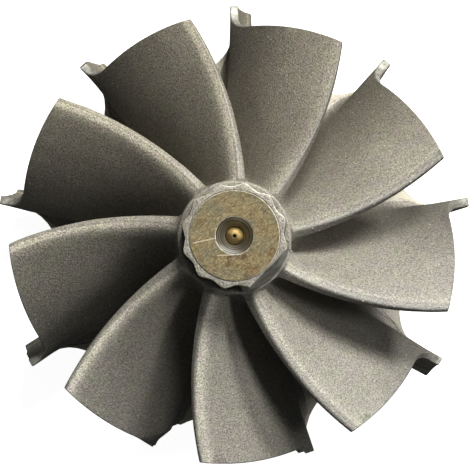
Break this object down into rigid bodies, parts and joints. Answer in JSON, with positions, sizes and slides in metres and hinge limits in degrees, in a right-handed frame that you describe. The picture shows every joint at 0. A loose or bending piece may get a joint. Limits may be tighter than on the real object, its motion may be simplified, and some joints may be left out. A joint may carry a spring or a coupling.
{
  "type": "turbocharger turbine wheel",
  "caption": "One-piece cast turbine wheel with twisted radial blades, a scalloped back disc, a hub with a many-pointed nose boss and a flat weld face for its shaft.",
  "frame": {"origin": "centre of the flat weld face on the back boss", "axes": "+Z along the wheel's axis, from the weld face towards the nose at the outlet end; the tip of the first blade lies near +Y"},
  "size_m": [0.0951, 0.0912, 0.0546],
  "materials": {
    "cast_alloy": "rough cast skin, dull brown-grey, with a machined nose face"
  },
  "bodies": {
    "root": {"turbine_wheel_casting": "cast_alloy"}
  },
  "joints": []
}
